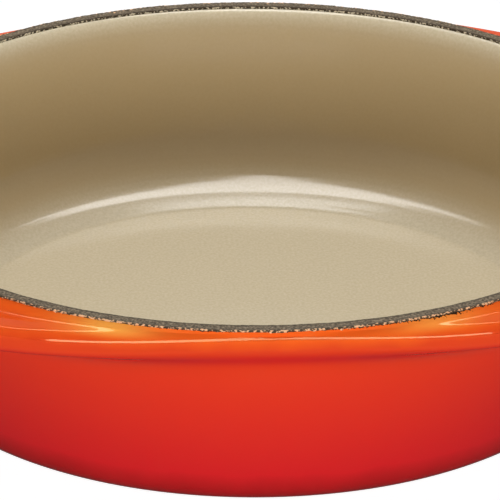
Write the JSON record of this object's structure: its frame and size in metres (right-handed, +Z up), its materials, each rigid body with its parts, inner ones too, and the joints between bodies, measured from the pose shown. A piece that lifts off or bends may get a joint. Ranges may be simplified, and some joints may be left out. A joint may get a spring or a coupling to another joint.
{
  "type": "tarte tatin dish",
  "caption": "Round, shallow baking dish of enamelled cast iron with drafted walls, a flat floor and a lug handle on each side.",
  "frame": {"origin": "middle of the base, on the plane that the dish stands on", "axes": "+X along the two handles, +Y across them, +Z up through the bowl's axis"},
  "size_m": [0.308, 0.262, 0.0655],
  "materials": {
    "grey_cast_iron": "sand cast and shot blasted, hidden under the enamel except at the kiln's pin spots",
    "matt_ground_coat": "matt charcoal ground enamel, rough to the touch, bare on the rim",
    "sand_enamel": "sand coloured cover enamel with a soft gloss",
    "graded_orange_enamel": "glossy cover enamel, graded from orange at the band to red at the base",
    "dark_red_enamel": "glossy dark red cover enamel with slight orange peel"
  },
  "bodies": {
    "root": {"cast_iron_body": "grey_cast_iron", "ground_coat": "matt_ground_coat", "inner_enamel": "sand_enamel", "outer_enamel": "graded_orange_enamel", "underside_enamel": "dark_red_enamel"}
  },
  "joints": []
}
